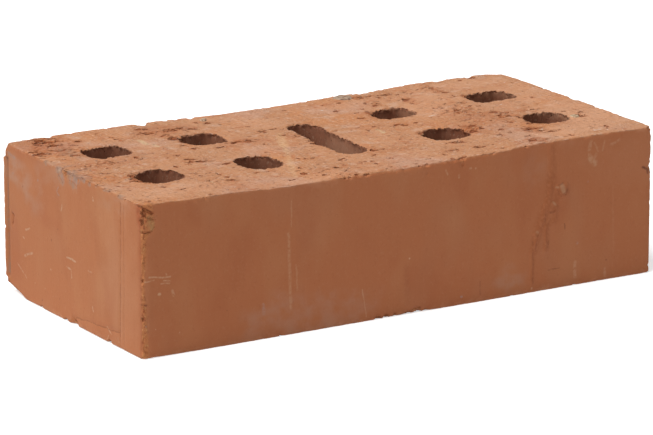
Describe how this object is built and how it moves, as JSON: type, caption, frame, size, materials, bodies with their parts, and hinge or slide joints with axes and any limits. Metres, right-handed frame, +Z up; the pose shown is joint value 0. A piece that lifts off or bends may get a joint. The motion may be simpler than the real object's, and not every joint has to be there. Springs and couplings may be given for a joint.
{
  "type": "clay brick",
  "caption": "Rectangular fired-clay brick with squared and rounded through cores on both sides of a central slot, rough wire-cut beds, smooth sides and chipped arrises.",
  "frame": {"origin": "middle of the lower bed face's bounding rectangle, on the surface the brick lies on", "axes": "+X along the length from header to header, +Y across the width from the front stretcher to the back one, +Z up through the height"},
  "size_m": [0.25, 0.12, 0.065],
  "materials": {
    "fired_clay": "unglazed fired clay, matt and dusty, torn on the wire-cut beds and smooth on the die-formed sides"
  },
  "bodies": {
    "root": {"brick": "fired_clay"}
  },
  "joints": []
}
